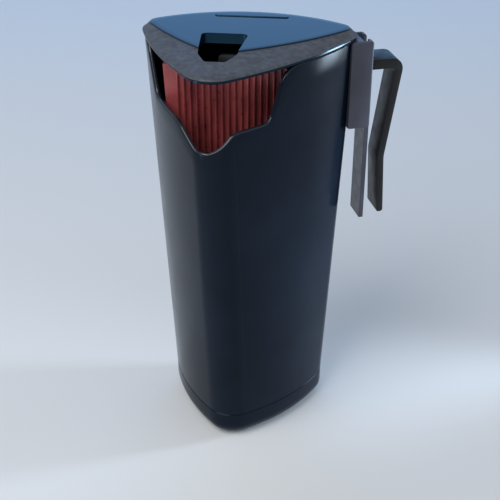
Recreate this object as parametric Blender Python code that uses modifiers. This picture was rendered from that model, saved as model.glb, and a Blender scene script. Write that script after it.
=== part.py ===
"""Internal power filter for a small aquarium, hung over the tank's wall.

Metres, +Z up. The origin is on the flat underside, the back wall faces +Y, the nose points to -Y
and stands a little to -X, and the hanger leaves the back corner at +X. Water enters through the base
grille and the slots above it, the impeller lifts it up the riser tube, and it runs through the
cartridge and the bio-scrubber and over the lip at the nose.
"""
import math

import bmesh
import bpy
from mathutils import Matrix, Vector

# ---------------------------------------------------------------- driving dimensions
GAP = 0.0003                 # clearance between pieces that touch
WALL = 0.0022                # wall of the moulded shells
FOOT_Z = 0.014               # seam between the base grille and the body shell
RIM_Z = 0.186                # top of the body's wall at the back corners
EDGE_R = 0.008               # rounding of the underside's edge
ARC_STEPS = 9                # points on each of a plan outline's six arcs

# Plan outlines: two back corner circles and a nose circle, joined by three large tangent arcs.
PLAN_RIM = {"corner_x": 0.0384, "corner_y": 0.0140, "corner_r": 0.0066, "back_r": 0.070,
            "nose_x": -0.0083, "nose_y": -0.0337, "nose_r": 0.0113, "side_r": 0.180}
PLAN_FOOT = {"corner_x": 0.0265, "corner_y": 0.0120, "corner_r": 0.0100, "back_r": 0.060,
             "nose_x": -0.0045, "nose_y": -0.0160, "nose_r": 0.0140, "side_r": 0.085}

# Spillway mouth: it faces MOUTH_TURN from -Y, towards -X
MOUTH_TURN = math.radians(-25.0)
SHELF_DROP = 0.0220          # from the rim to the shelf beside the spillway
LIP_DROP = 0.0300            # from the rim to the spillway's lip

# Intake slots in the back wall
BACK_SLOTS = 5
BACK_SLOT_LOW = 0.0240
BACK_SLOT_PITCH = 0.0060
BACK_SLOT_TALL = 0.0028
BACK_SLOT_HALF = 0.0170
BACK_SLOT_FROM, BACK_SLOT_TO = 0.0150, 0.0400    # Y range that the slots are cut through

# Strainer slots in the base: (Y, half length)
BASE_SLOTS = ((-0.0145, 0.0090), (-0.0095, 0.0140), (0.0065, 0.0140), (0.0115, 0.0140))
BASE_SLOT_WIDE = 0.0024
BASE_LIP_LOW, BASE_LIP_TOP = 0.0035, 0.0190      # the rib that plugs into the shell

# Lid
LID_EDGE = 0.0020            # thickness at the lid's edge
LID_RISE = 0.0024            # height of the flat panel over the edge
LID_PROUD = 0.0008           # how far the lid overhangs the wall
LID_Z = RIM_Z + GAP
PLAN_CREASE = {"corner_x": 0.0370, "corner_y": 0.0142, "corner_r": 0.0058, "back_r": 0.070,
               "nose_x": -0.0075, "nose_y": -0.0120, "nose_r": 0.0105, "side_r": 0.140}
LID_SKIRT = 0.0050           # depth of the locating skirt
HOLE_HALF = 0.0098           # half width of the finger hole at its back edge
HOLE_BACK = 0.0010
HOLE_FRONT = -0.0300
TAB_HALF = 0.0030            # small tab at the middle of the back edge
TAB_FROM, TAB_TO = 0.0310, 0.0358
TAB_TALL = 0.0026
BAR_HALF = 0.0160            # plain raised bar near the back edge
BAR_FROM, BAR_TO = 0.0235, 0.0261
BAR_PROUD = 0.0005

# Hanger: a frame at the back corner whose +X points out to the tank's wall
HANG_AT = (PLAN_RIM["corner_x"], PLAN_RIM["corner_y"], 0.0)
HANG_TURN = math.radians(20.0)
RAIL_OUT = 0.0132            # outer face of the rail, from the corner's centre
RAIL_HALF = 0.0076
RAIL_LOW = 0.1470
LEAF_LOW = 0.1020
LEAF_THICK = 0.0020
LEAF_HALF = 0.0060
SLOT_LOW = 0.1500            # bottom stop of the T-slot
SLOT_IN = 0.0090
SLOT_HALF = 0.0056
SLIT_HALF = 0.0031
SLOT_FACE = 0.0018            # wall on each side of the slit
ARM_TOP = 0.1776
ARM_THICK = 0.0044
ARM_REACH = 0.0145           # from the rail's outer face to the outside of the leg
LEG_LOW = 0.1040
LEG_BEND = 0.1320             # height where the leg stops leaning in
FLARE = 0.0014               # how far the leg's end turns out again
CLIP_HALF = 0.0062

# Media
BASIN_Z = 0.1000             # top of the basin's floor
CARTRIDGE_X = -0.0010
CARTRIDGE_Y = 0.0050
CARTRIDGE_HALF = 0.0305
CARTRIDGE_TALL = 0.0740
FRAME_THICK = 0.0040
PAD_THICK = 0.0036
SCRUBBER_X = -0.0020
SCRUBBER_Y = -0.0046
SCRUBBER_FOOT = 0.0283        # half width at the foot
SCRUBBER_HEAD = 0.0318        # half width at the head
SCRUBBER_THICK = 0.0020
SCRUBBER_RIB = 0.0016
RIB_PITCH = 0.0027

# Pump, on a vertical axis
PUMP_X = -0.0037
PUMP_Y = -0.0085
CAN_R = 0.0177
CAN_LOW = 0.0260
CAN_TOP = 0.0620
WELL_R = 0.0065              # inside of the rotor well
WELL_TOP = 0.0540
CHAMBER_R = 0.0120
CHAMBER_LOW = 0.0115
HUB_R = 0.0045               # hub of the chamber's cover, under the lower bush
HUB_TOP = 0.0100
SHAFT_R = 0.0015
MAGNET_R = 0.0055
MAGNET_LOW, MAGNET_TOP = 0.0310, 0.0500
WHEEL_R = 0.0104             # the impeller's disc
RISER_Y = 0.0166
RISER_R = 0.0050
RISER_TOP = 0.1680

# Colours: (red, green, blue), roughness, metallic
FINISH = {
    "shell": ((0.016, 0.022, 0.032), 0.28, 0.0),
    "lid": ((0.020, 0.025, 0.035), 0.30, 0.0),
    "hanger": ((0.010, 0.010, 0.012), 0.45, 0.0),
    "rail": ((0.030, 0.034, 0.048), 0.40, 0.0),
    "insert": ((0.020, 0.024, 0.030), 0.50, 0.0),
    "scrubber": ((0.210, 0.030, 0.032), 0.55, 0.0),
    "media_frame": ((0.035, 0.038, 0.044), 0.45, 0.0),
    "floss": ((0.780, 0.840, 0.870), 0.95, 0.0),
    "carbon": ((0.015, 0.015, 0.015), 0.90, 0.0),
    "pump": ((0.018, 0.018, 0.020), 0.45, 0.0),
    "steel": ((0.420, 0.420, 0.430), 0.40, 1.0),
    "copper": ((0.720, 0.320, 0.150), 0.35, 1.0),
    "magnet": ((0.045, 0.043, 0.042), 0.60, 0.2),
    "ceramic": ((0.850, 0.840, 0.800), 0.25, 0.0),
    "impeller": ((0.700, 0.710, 0.690), 0.40, 0.0),
    "rubber": ((0.022, 0.022, 0.022), 0.75, 0.0),
}


# ---------------------------------------------------------------- scene and materials
for old in list(bpy.data.objects):
    bpy.data.objects.remove(old, do_unlink=True)

parts = bpy.data.collections.new("internal_power_filter")
tools = bpy.data.collections.new("cutters")
bpy.context.scene.collection.children.link(parts)
bpy.context.scene.collection.children.link(tools)


def finish(name):
    """The named material, made on first use."""
    if name in bpy.data.materials:
        return bpy.data.materials[name]
    colour, rough, metal = FINISH[name]
    material = bpy.data.materials.new(name)
    material.use_nodes = True
    shader = material.node_tree.nodes["Principled BSDF"]
    shader.inputs["Base Color"].default_value = (*colour, 1.0)
    shader.inputs["Roughness"].default_value = rough
    shader.inputs["Metallic"].default_value = metal
    return material


def as_part(obj, material):
    """Put an object among the parts, with its material and smooth round faces."""
    tools.objects.unlink(obj)
    parts.objects.link(obj)
    obj.hide_render = False
    obj.display_type = "TEXTURED"
    obj.data.materials.clear()
    obj.data.materials.append(finish(material))
    obj.data.shade_smooth()
    obj.data.set_sharp_from_angle(angle=math.radians(35.0))
    return obj


def tool(name, bm, place=None):
    """An object from a bmesh, held as a cutter until as_part makes it a part."""
    mesh = bpy.data.meshes.new(name)
    bm.to_mesh(mesh)
    bm.free()
    obj = bpy.data.objects.new(name, mesh)
    tools.objects.link(obj)
    obj.hide_render = True
    obj.display_type = "WIRE"
    if place is not None:
        obj.matrix_world = place
    return obj


# ---------------------------------------------------------------- outlines
def arc_centre(a, a_r, b, b_r, radius):
    """Centre of the arc that circles a and b touch from inside, on the left of a to b."""
    span = b - a
    reach = span.length
    along = ((radius - a_r) ** 2 - (radius - b_r) ** 2 + reach ** 2) / (2.0 * reach)
    across = math.sqrt((radius - a_r) ** 2 - along ** 2)
    step = span / reach
    return a + step * along + Vector((-step.y, step.x)) * across


def arc(centre, radius, start, end, steps):
    """Points from start towards end, anticlockwise, without the last one."""
    first = math.atan2(start.y, start.x)
    last = math.atan2(end.y, end.x)
    if last < first:
        last += 2.0 * math.pi
    turns = [first + (last - first) * i / steps for i in range(steps)]
    return [(centre.x + radius * math.cos(t), centre.y + radius * math.sin(t)) for t in turns]


def outline(plan, inset=0.0, steps=ARC_STEPS):
    """The rounded-triangle plan, anticlockwise from the nose's right side, moved in by inset."""
    nose = Vector((plan["nose_x"], plan["nose_y"]))
    right = Vector((plan["corner_x"], plan["corner_y"]))
    left = Vector((-plan["corner_x"], plan["corner_y"]))
    nose_r, corner_r = plan["nose_r"], plan["corner_r"]
    side_r, back_r = plan["side_r"], plan["back_r"]
    to_right = arc_centre(nose, nose_r, right, corner_r, side_r)
    to_left = arc_centre(right, corner_r, left, corner_r, back_r)
    to_nose = arc_centre(left, corner_r, nose, nose_r, side_r)
    points = arc(to_right, side_r - inset, nose - to_right, right - to_right, steps)
    points += arc(right, corner_r - inset, right - to_right, right - to_left, steps)
    points += arc(to_left, back_r - inset, right - to_left, left - to_left, steps)
    points += arc(left, corner_r - inset, left - to_left, left - to_nose, steps)
    points += arc(to_nose, side_r - inset, left - to_nose, nose - to_nose, steps)
    points += arc(nose, nose_r - inset, nose - to_nose, nose - to_right, steps)
    return points


def plan_at(z):
    """The body's outer plan at height z, straight between the foot's plan and the rim's."""
    t = (z - FOOT_Z) / (RIM_Z - FOOT_Z)
    return {key: PLAN_FOOT[key] + (PLAN_RIM[key] - PLAN_FOOT[key]) * t for key in PLAN_RIM}


def centre_x(plan, y):
    """X of the plan's centre line at y: on the nose's centre in front, on X = 0 between the corners."""
    return plan["nose_x"] * (plan["corner_y"] - y) / (plan["corner_y"] - plan["nose_y"])


def ring(z, inset=0.0):
    return [(x, y, z) for x, y in outline(plan_at(z), inset)]


def rounded(corners, steps=6):
    """A polygon from (x, y, radius) corners, with an arc of that radius at each one."""
    points = []
    for i, (x, y, radius) in enumerate(corners):
        here = Vector((x, y))
        if radius == 0.0:
            points.append((x, y))
            continue
        back = (Vector(corners[i - 1][:2]) - here).normalized()
        ahead = (Vector(corners[(i + 1) % len(corners)][:2]) - here).normalized()
        half = back.angle(ahead) / 2.0
        middle = here + (back + ahead).normalized() * (radius / math.sin(half))
        start = here + back * (radius / math.tan(half)) - middle
        turn = start.angle_signed(here + ahead * (radius / math.tan(half)) - middle)
        for k in range(steps + 1):
            spoke = start.copy()
            spoke.rotate(Matrix.Rotation(-turn * k / steps, 2))
            points.append(tuple(middle + spoke))
    return points


def rectangle(x0, x1, y0, y1, radius=0.0):
    return rounded([(x0, y0, radius), (x1, y0, radius), (x1, y1, radius), (x0, y1, radius)])


# ---------------------------------------------------------------- solids
def loft(name, rings, bottom=True, top=True):
    """Quads between rings of equal length that run anticlockwise and upwards."""
    bm = bmesh.new()
    loops = [[bm.verts.new(point) for point in points] for points in rings]
    for low, high in zip(loops, loops[1:]):
        for i in range(len(low)):
            j = (i + 1) % len(low)
            bm.faces.new((low[i], low[j], high[j], high[i]))
    if bottom:
        bm.faces.new(list(reversed(loops[0])))
    if top:
        bm.faces.new(loops[-1])
    return tool(name, bm)


def prism(name, outlines, low, high, place=None):
    """A flat outline, with any holes, filled and given thickness from low to high."""
    curve = bpy.data.curves.new(name, "CURVE")
    curve.dimensions = "2D"
    curve.fill_mode = "BOTH"
    curve.extrude = (high - low) / 2.0
    for points in outlines:
        spline = curve.splines.new("POLY")
        spline.points.add(len(points) - 1)
        for point, (x, y) in zip(spline.points, points):
            point.co = (x, y, 0.0, 1.0)
        spline.use_cyclic_u = True
    flat = bpy.data.objects.new(name + "_flat", curve)
    tools.objects.link(flat)
    bpy.context.view_layer.update()
    mesh = bpy.data.meshes.new_from_object(flat.evaluated_get(bpy.context.evaluated_depsgraph_get()))
    bpy.data.objects.remove(flat, do_unlink=True)
    bm = bmesh.new()
    bm.from_mesh(mesh)
    bpy.data.meshes.remove(mesh)
    bmesh.ops.remove_doubles(bm, verts=bm.verts, dist=0.000002)
    bmesh.ops.translate(bm, verts=bm.verts, vec=(0.0, 0.0, (low + high) / 2.0))
    bmesh.ops.recalc_face_normals(bm, faces=bm.faces)
    return tool(name, bm, place)


def block(name, low, high, place=None):
    """A box between two corners."""
    low, high = Vector(low), Vector(high)
    bm = bmesh.new()
    bmesh.ops.create_cube(bm, size=1.0)
    bmesh.ops.scale(bm, verts=bm.verts, vec=high - low)
    bmesh.ops.translate(bm, verts=bm.verts, vec=(low + high) / 2.0)
    return tool(name, bm, place)


def rod(name, radius, low, high, at=(0.0, 0.0), steps=24, place=None):
    """A cylinder along Z."""
    bm = bmesh.new()
    move = Matrix.Translation((at[0], at[1], (low + high) / 2.0))
    bmesh.ops.create_cone(bm, cap_ends=True, segments=steps, radius1=radius, radius2=radius,
                          depth=high - low, matrix=move)
    return tool(name, bm, place)


def turned(name, profile, at=(0.0, 0.0, 0.0), steps=24, turn=None):
    """A profile of (radius, height) points turned about Z, its outer side running down."""
    bm = bmesh.new()
    points = [bm.verts.new((r, 0.0, z)) for r, z in profile]
    for a, b in zip(points, points[1:]):
        bm.edges.new((a, b))
    if profile[0][0] > 0.0:
        bm.edges.new((points[-1], points[0]))
    place = Matrix.Translation(at)
    if turn is not None:
        place = place @ turn
    obj = tool(name, bm, place)
    screw = obj.modifiers.new("turn", "SCREW")
    screw.steps = steps
    screw.render_steps = steps
    screw.use_merge_vertices = True
    screw.merge_threshold = 0.00001
    return obj


def cut(obj, *cutters):
    for cutter in cutters:
        step = obj.modifiers.new("cut", "BOOLEAN")
        step.operation = "DIFFERENCE"
        step.object = cutter
    return obj


def join(obj, *pieces):
    for piece in pieces:
        step = obj.modifiers.new("join", "BOOLEAN")
        step.operation = "UNION"
        step.object = piece
    return obj


def thicken(obj, thickness=WALL):
    """Give an open surface its wall, on the inner side."""
    step = obj.modifiers.new("wall", "SOLIDIFY")
    step.thickness = thickness
    step.offset = -1.0
    step.use_even_offset = True
    return obj


def bevel(obj, width, segments=2, limit=40.0):
    step = obj.modifiers.new("edge", "BEVEL")
    step.width = width
    step.segments = segments
    step.limit_method = "ANGLE"
    step.angle_limit = math.radians(limit)
    return obj


def pocket(name, outlines, low, high, place):
    """A prism whose outline is (Y, Z) and whose length runs along X, in the given frame."""
    turn = Matrix(((0, 0, 1, 0), (1, 0, 0, 0), (0, 1, 0, 0), (0, 0, 0, 1)))
    return prism(name, outlines, low, high, place @ turn)


def hang_frame(z=0.0):
    """World matrix of the hanger's frame, +X out to the tank's wall."""
    return Matrix.Translation((HANG_AT[0], HANG_AT[1], z)) @ Matrix.Rotation(HANG_TURN, 4, "Z")


# ---------------------------------------------------------------- housing
def envelope(name, grow=GAP):
    """The body's outer form, grown by a clearance, for cutting its neighbours."""
    low, high = FOOT_Z - 0.004, RIM_Z + 0.010
    return loft(name, [ring(low, -grow), ring(high, -grow)])


def mouth_profile():
    """(out, Z) region above the rim: level at the back, an S down to the spillway lip."""
    back, front, above = 0.0300, -0.0700, RIM_Z + 0.0200
    shelf, lip = RIM_Z - SHELF_DROP, RIM_Z - LIP_DROP
    return rounded([(back, RIM_Z + 0.0005, 0.0), (-0.0130, RIM_Z - 0.0005, 0.0090),
                    (-0.0200, shelf + 0.0005, 0.0040), (-0.0360, shelf, 0.0060), (-0.0425, lip, 0.0),
                    (front, lip, 0.0), (front, above, 0.0), (back, above, 0.0)])


def make_body_shell():
    heights = [FOOT_Z + GAP, 0.060, 0.105, 0.150, RIM_Z]
    shell = thicken(loft("body_shell", [ring(z) for z in heights], False, False))
    mouth = pocket("mouth_cutter", [mouth_profile()], -0.080, 0.080, Matrix.Rotation(MOUTH_TURN, 4, "Z"))
    slots = []
    for i in range(BACK_SLOTS):
        low = BACK_SLOT_LOW + BACK_SLOT_PITCH * i
        slots.append(block(f"back_slot_{i}", (-BACK_SLOT_HALF, BACK_SLOT_FROM, low),
                           (BACK_SLOT_HALF, BACK_SLOT_TO, low + BACK_SLOT_TALL)))
    return as_part(cut(shell, mouth, *slots), "shell")


def make_base_grille():
    steps = 5
    angles = [math.pi / 2.0 * i / steps for i in range(steps + 1)]
    rings = []
    for angle in angles:
        inset = EDGE_R * (1.0 - math.sin(angle))
        z = EDGE_R * (1.0 - math.cos(angle))
        rings.append([(x, y, z) for x, y in outline(PLAN_FOOT, inset)])
    rings.append(ring(FOOT_Z, 0.0))
    cap = thicken(loft("base_grille", rings, True, False))
    lip_out, lip_in = WALL + GAP, WALL + 0.0018
    lip = prism("base_lip", [outline(PLAN_FOOT, lip_out), outline(PLAN_FOOT, lip_in)],
                BASE_LIP_LOW, BASE_LIP_TOP)
    slots = []
    for y, half in BASE_SLOTS:
        middle = centre_x(PLAN_FOOT, y)
        slots.append(block(f"base_slot_{len(slots)}", (middle - half, y - BASE_SLOT_WIDE / 2.0, -0.002),
                           (middle + half, y + BASE_SLOT_WIDE / 2.0, BASE_LIP_LOW)))
    return as_part(cut(join(cap, lip), *slots), "shell")


def make_media_basin():
    """A floor with a hole for the riser, guides for the cartridge and a sill for the scrubber."""
    low, high = BASIN_Z - 0.001, 0.1500
    wall = 0.0016
    floor = prism("media_basin", [outline(plan_at(BASIN_Z - 0.002), WALL + GAP)], BASIN_Z - 0.002, BASIN_Z)
    ribs = []
    slot = FRAME_THICK / 2.0 + GAP
    inner, web, outer = CARTRIDGE_HALF - 0.0014, CARTRIDGE_HALF + GAP, CARTRIDGE_HALF + 0.0022
    for side in (-1, 1):
        for name, y in (("front", CARTRIDGE_Y - slot - wall), ("back", CARTRIDGE_Y + slot)):
            xs = sorted((CARTRIDGE_X + side * inner, CARTRIDGE_X + side * outer))
            ribs.append(block(f"guide_{name}_{side}", (xs[0], y, low), (xs[1], y + wall, high)))
        xs = sorted((CARTRIDGE_X + side * web, CARTRIDGE_X + side * outer))
        ribs.append(block(f"guide_web_{side}", (xs[0], CARTRIDGE_Y - slot - wall / 2.0, low),
                          (xs[1], CARTRIDGE_Y + slot + wall / 2.0, high)))
    sill_y = SCRUBBER_Y - SCRUBBER_THICK / 2.0 - SCRUBBER_RIB - GAP
    sill = block("scrubber_sill", (SCRUBBER_X - 0.0210, sill_y - 0.0018, low),
                 (SCRUBBER_X + 0.0210, sill_y, BASIN_Z + 0.006))
    riser_hole = rod("riser_hole", RISER_R + GAP, BASIN_Z - 0.010, BASIN_Z + 0.010, (0.0, RISER_Y))
    return as_part(cut(join(floor, *ribs, sill), riser_hole), "insert")


def make_riser_tube():
    tube = turned("riser_tube", [(RISER_R - 0.0012, RISER_TOP), (RISER_R, RISER_TOP), (RISER_R, 0.0205),
                                 (RISER_R - 0.0012, 0.0205)], (0.0, RISER_Y, 0.0))
    return as_part(tube, "insert")


def make_riser_seal():
    minor = 0.0009
    ring_r = RISER_R + GAP + minor
    turns = [2.0 * math.pi * i / 10 for i in range(10)]
    profile = [(ring_r + minor * math.cos(t), -minor * math.sin(t)) for t in turns]
    return as_part(turned("riser_seal", profile, (0.0, RISER_Y, 0.0264 + minor)), "rubber")


# ---------------------------------------------------------------- lid
def lid_hole(grow=0.0):
    """Finger hole: straight at the back, narrowing towards the nose, moved out by grow."""
    back, front = HOLE_BACK + grow, HOLE_FRONT - grow
    knee = (HOLE_BACK + 3.0 * HOLE_FRONT) / 4.0
    middle = PLAN_RIM["nose_x"]
    half, knee_half, front_half = HOLE_HALF + grow, HOLE_HALF * 0.80 + grow, HOLE_HALF * 0.42 + grow
    return rounded([(middle - half, back, 0.0026), (middle - knee_half, knee, 0.0060),
                    (middle - front_half, front, 0.0022), (middle + front_half, front, 0.0022),
                    (middle + knee_half, knee, 0.0060), (middle + half, back, 0.0026)])


def make_lid():
    edge = outline(PLAN_RIM, -LID_PROUD)
    crease = outline(PLAN_CREASE)
    rings = [[(x, y, LID_Z) for x, y in edge],
             [(x, y, LID_Z + LID_EDGE) for x, y in edge],
             [(x, y, LID_Z + LID_EDGE + LID_RISE) for x, y in crease]]
    lid = loft("lid", rings)
    recess = prism("lid_recess", [outline(PLAN_CREASE, 0.0040)], LID_Z - 0.010, LID_Z + LID_EDGE + 0.0004)
    rib = prism("lid_hole_rib", [lid_hole(0.0018)], LID_Z, LID_Z + LID_EDGE + 0.001)
    skirt = prism("lid_skirt", [outline(PLAN_RIM, WALL + 0.0007), outline(PLAN_RIM, WALL + 0.0022)],
                  LID_Z - LID_SKIRT, LID_Z + 0.001)
    front = block("skirt_front", (-0.060, -0.060, LID_Z - 0.010), (0.060, 0.012, LID_Z))
    cut(skirt, front)
    tab = block("lid_tab", (-TAB_HALF, TAB_FROM, LID_Z), (TAB_HALF, TAB_TO, LID_Z + TAB_TALL))
    bar = prism("lid_bar", [rectangle(-BAR_HALF, BAR_HALF, BAR_FROM, BAR_TO, 0.0012)],
                LID_Z + LID_EDGE, LID_Z + LID_EDGE + LID_RISE + BAR_PROUD)
    hole = prism("lid_hole_cutter", [lid_hole()], LID_Z - 0.010, LID_Z + 0.020)
    join(cut(lid, recess), rib, skirt, tab, bar)
    return as_part(cut(lid, hole), "lid")


# ---------------------------------------------------------------- hanger
def make_mount_rail():
    """The block that carries the hanger, with a T-slot, and a leaf that runs on down."""
    place = hang_frame()
    above = RIM_Z + 0.01
    rail = block("mount_rail", (0.0030, -RAIL_HALF, RAIL_LOW), (RAIL_OUT, RAIL_HALF, RIM_Z), place)
    leaf = block("rail_leaf", (RAIL_OUT - LEAF_THICK, -LEAF_HALF, LEAF_LOW),
                 (RAIL_OUT, LEAF_HALF, RAIL_LOW + 0.001), place)
    slot = block("rail_slot", (SLOT_IN, -SLOT_HALF, SLOT_LOW), (RAIL_OUT - SLOT_FACE, SLOT_HALF, above),
                 place)
    slit = block("rail_slit", (SLOT_IN + 0.001, -SLIT_HALF, SLOT_LOW), (RAIL_OUT + 0.002, SLIT_HALF, above),
                 place)
    bevel(rail, 0.0012)
    return as_part(cut(join(rail, leaf), slot, slit, envelope("rail_envelope")), "rail")


def make_hanger_clip():
    place = hang_frame()
    turn = Matrix(((1, 0, 0, 0), (0, 0, -1, 0), (0, 1, 0, 0), (0, 0, 0, 1)))
    near = RAIL_OUT + GAP
    far = RAIL_OUT + ARM_REACH
    foot_out = RAIL_OUT + 0.0080
    foot_in = RAIL_OUT + 0.0050
    hook = prism("hanger_clip", [rounded([
        (near, ARM_TOP, 0.0), (near, ARM_TOP - ARM_THICK, 0.0),
        (far - 0.0040, ARM_TOP - ARM_THICK, 0.0018), (foot_in, LEG_BEND, 0.0150),
        (foot_in + FLARE, LEG_LOW, 0.0010), (foot_out + FLARE, LEG_LOW, 0.0012),
        (foot_out, LEG_BEND, 0.0150), (far, ARM_TOP, 0.0050)])], -CLIP_HALF, CLIP_HALF, place @ turn)
    low, high = SLOT_LOW + 0.002, RIM_Z - 0.002
    slider = block("clip_slider", (SLOT_IN + GAP, -SLOT_HALF + GAP, low),
                   (RAIL_OUT - SLOT_FACE - GAP, SLOT_HALF - GAP, high), place)
    neck = block("clip_neck", (SLOT_IN + 0.001, -SLIT_HALF + GAP, ARM_TOP - 0.020),
                 (RAIL_OUT - 0.0001, SLIT_HALF - GAP, ARM_TOP), place)
    root = block("clip_root", (RAIL_OUT - 0.0010, -SLIT_HALF + GAP, ARM_TOP - ARM_THICK),
                 (near + 0.0010, SLIT_HALF - GAP, ARM_TOP), place)
    return as_part(join(hook, slider, neck, root), "hanger")


# ---------------------------------------------------------------- media
def facing_front(x, y):
    """Places a prism so that its outline is (X, Z) and its thickness runs back along +Y."""
    turn = Matrix(((1, 0, 0, 0), (0, 0, -1, 0), (0, 1, 0, 0), (0, 0, 0, 1)))
    return Matrix.Translation((x, y, 0.0)) @ turn


def make_cartridge():
    """A frame with a carbon bed in its window and a floss pad on each face."""
    low = BASIN_Z + GAP
    high = low + CARTRIDGE_TALL
    half = CARTRIDGE_HALF
    bar = 0.0034
    deep = FRAME_THICK / 2.0
    place = facing_front(CARTRIDGE_X, CARTRIDGE_Y)
    window = rectangle(-half + bar, half - bar, low + bar, high - bar, 0.0020)
    rim = rectangle(-half, half, low, high, 0.0030)
    frame = prism("cartridge_frame", [rim, window], -deep, deep, place)
    pull = prism("cartridge_pull", [rectangle(-0.011, 0.011, high - 0.001, high + 0.006, 0.0020)],
                 -0.0010, 0.0010, place)
    as_part(join(frame, pull), "media_frame")
    edge = bar + GAP
    bed = prism("carbon_bed", [rectangle(-half + edge, half - edge, low + edge, high - edge, 0.0017)],
                -deep, deep, place)
    as_part(bed, "carbon")
    offset = deep + GAP + PAD_THICK / 2.0
    for name, y in (("floss_pad_front", CARTRIDGE_Y - offset), ("floss_pad_back", CARTRIDGE_Y + offset)):
        pad = prism(name, [rectangle(-half + 0.0020, half - 0.0020, low + 0.0020, high - 0.0015, 0.0040)],
                    -PAD_THICK / 2.0, PAD_THICK / 2.0, facing_front(CARTRIDGE_X, y))
        as_part(bevel(pad, 0.0012), "floss")


def make_bio_scrubber():
    """A plate with vertical ribs on its front, which keeps wet behind the spillway."""
    low, high = BASIN_Z + 0.0010, RIM_Z - 0.0070
    foot, head = SCRUBBER_FOOT, SCRUBBER_HEAD
    plate = prism("bio_scrubber", [[(-foot, low), (foot, low), (head, high), (-head, high)]],
                  -SCRUBBER_THICK / 2.0, SCRUBBER_THICK / 2.0, facing_front(SCRUBBER_X, SCRUBBER_Y))
    count = int(2.0 * foot / RIB_PITCH)
    start = SCRUBBER_X - RIB_PITCH * (count - 1) / 2.0
    face = SCRUBBER_Y - SCRUBBER_THICK / 2.0
    ribs = [block(f"rib_{i}", (start + RIB_PITCH * i - 0.0006, face - SCRUBBER_RIB, low),
                  (start + RIB_PITCH * i + 0.0006, face + 0.0004, high))
            for i in range(count)]
    return as_part(join(plate, *ribs), "scrubber")


# ---------------------------------------------------------------- pump
def make_pump_housing():
    """A can with a rotor well up its middle; the stator fills the space between."""
    profile = [(0.0, WELL_TOP + 0.0015), (WELL_R + 0.0012, WELL_TOP + 0.0015),
               (WELL_R + 0.0012, CAN_LOW + 0.002), (CAN_R - 0.0018, CAN_LOW + 0.002),
               (CAN_R - 0.0018, CAN_TOP), (CAN_R, CAN_TOP), (CAN_R, CAN_LOW), (WELL_R, CAN_LOW),
               (WELL_R, WELL_TOP), (0.0, WELL_TOP)]
    return as_part(turned("pump_housing", profile, (PUMP_X, PUMP_Y, 0.0), 36), "pump")


def make_pump_cap():
    plug = CAN_R - 0.0018 - GAP
    cap = turned("pump_cap", [(0.0, CAN_TOP + 0.0030), (CAN_R - 0.001, CAN_TOP + 0.0030),
                              (CAN_R, CAN_TOP + 0.0020), (CAN_R, CAN_TOP + GAP), (plug, CAN_TOP + GAP),
                              (plug, CAN_TOP - 0.0020), (0.0, CAN_TOP - 0.0020)], (PUMP_X, PUMP_Y, 0.0), 36)
    hole = rod("gland_hole", 0.0030 + GAP, CAN_TOP - 0.01, CAN_TOP + 0.01, (PUMP_X, PUMP_Y + 0.0100), 20)
    return as_part(cut(cap, hole), "pump")


def make_cord_gland():
    top = CAN_TOP + 0.0030
    profile = [(0.0014, top + 0.010), (0.0026, top + 0.010), (0.0042, top + 0.0022), (0.0050, top + GAP),
               (0.0030, top + GAP), (0.0030, CAN_TOP - 0.0010), (0.0014, CAN_TOP - 0.0010)]
    return as_part(turned("cord_gland", profile, (PUMP_X, PUMP_Y + 0.0100, 0.0), 20), "rubber")


def make_stator():
    """A laminated ring with two inward poles, and a coil round each pole."""
    outer, inner = CAN_R - 0.0018 - GAP, CAN_R - 0.0050
    low, high = CAN_LOW + 0.0080, CAN_LOW + 0.0220
    place = Matrix.Translation((PUMP_X, PUMP_Y, 0.0))
    core = turned("stator_core", [(inner, high), (outer, high), (outer, low), (inner, low)],
                  (PUMP_X, PUMP_Y, 0.0), 36)
    well = WELL_R + 0.0012 + GAP
    bore = rod("stator_bore", well, low - 0.01, high + 0.01, steps=24, place=place)
    poles = []
    for side in (-1, 1):
        xs = sorted((side * (well - 0.002), side * (inner + 0.001)))
        poles.append(block(f"pole_{side}", (xs[0], -0.0040, low + 0.001), (xs[1], 0.0040, high - 0.001),
                           place))
    as_part(cut(join(core, *poles), bore), "steel")
    turn = Matrix(((0, 0, 1, 0), (1, 0, 0, 0), (0, 1, 0, 0), (0, 0, 0, 1)))
    for side, name in ((-1, "coil_left"), (1, "coil_right")):
        near, far = well + GAP + 0.0004, inner - 0.0022
        xs = sorted((side * near, side * far))
        wire = [rectangle(-0.0062, 0.0062, low - 0.0026, high + 0.0026, 0.0018),
                rectangle(-0.0043, 0.0043, low + 0.0007, high - 0.0007, 0.0008)]
        as_part(prism(name, wire, xs[0], xs[1], place @ turn), "copper")


def make_rotor():
    """The magnet and the impeller share a sleeve that turns on the fixed ceramic shaft."""
    bore = SHAFT_R + 0.00008
    at = (PUMP_X, PUMP_Y, 0.0)
    magnet = turned("rotor_magnet", [(bore, MAGNET_TOP), (MAGNET_R, MAGNET_TOP), (MAGNET_R, MAGNET_LOW),
                                     (bore, MAGNET_LOW)], at)
    as_part(magnet, "magnet")
    stem_top = MAGNET_LOW - GAP
    wheel = turned("impeller", [(bore, stem_top), (0.0032, stem_top), (0.0032, 0.0245), (WHEEL_R, 0.0240),
                                (WHEEL_R, 0.0228), (0.0034, 0.0226), (0.0030, 0.0150), (bore, 0.0150)], at)
    blades = []
    for i in range(6):
        place = Matrix.Translation(at) @ Matrix.Rotation(math.pi * i / 3.0, 4, "Z")
        blades.append(block(f"blade_{i}", (0.0026, -0.0006, 0.0152), (0.0100, 0.0006, 0.0232), place))
    as_part(join(wheel, *blades), "impeller")


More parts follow.
